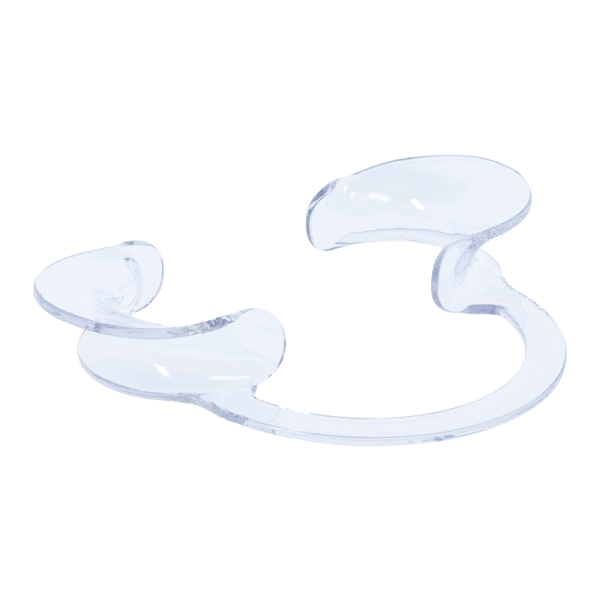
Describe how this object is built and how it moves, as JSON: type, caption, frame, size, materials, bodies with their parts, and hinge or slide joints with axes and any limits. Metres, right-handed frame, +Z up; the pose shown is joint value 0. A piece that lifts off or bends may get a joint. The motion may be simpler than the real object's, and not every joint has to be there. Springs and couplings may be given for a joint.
{
  "type": "cheek retractor",
  "caption": "Clear sprung C-shaped cheek and lip retractor: a flat bow with a saddle-shaped flanged cup at each end.",
  "frame": {"origin": "on the surface it lies on, at the middle of its bounding box in plan", "axes": "+X across the mouth from cup to cup, +Y from the bow towards the mouth, +Z up from the lying surface, which is into the mouth when worn"},
  "size_m": [0.1056, 0.0775, 0.0173],
  "materials": {
    "clear_polycarbonate": "polished, water-clear with a very faint blue tint"
  },
  "bodies": {
    "left_half": {"left_bow_middle": "clear_polycarbonate", "left_bow_arm": "clear_polycarbonate", "left_neck": "clear_polycarbonate", "left_web": "clear_polycarbonate", "left_inner_flange": "clear_polycarbonate", "left_outer_flange": "clear_polycarbonate", "left_front_lobe": "clear_polycarbonate", "left_back_lobe": "clear_polycarbonate"},
    "right_half": {"right_bow_middle": "clear_polycarbonate", "right_bow_arm": "clear_polycarbonate", "right_neck": "clear_polycarbonate", "right_web": "clear_polycarbonate", "right_inner_flange": "clear_polycarbonate", "right_outer_flange": "clear_polycarbonate", "right_front_lobe": "clear_polycarbonate", "right_back_lobe": "clear_polycarbonate"}
  },
  "joints": [
    {"name": "bow_flex", "type": "hinge", "parent": "left_half", "child": "right_half", "pos_m": [0, -0.0313, 0.00195], "axis": [0, 0, 1], "range_deg": [0, 20], "stiffness_Nm_per_rad": 1.8}
  ]
}
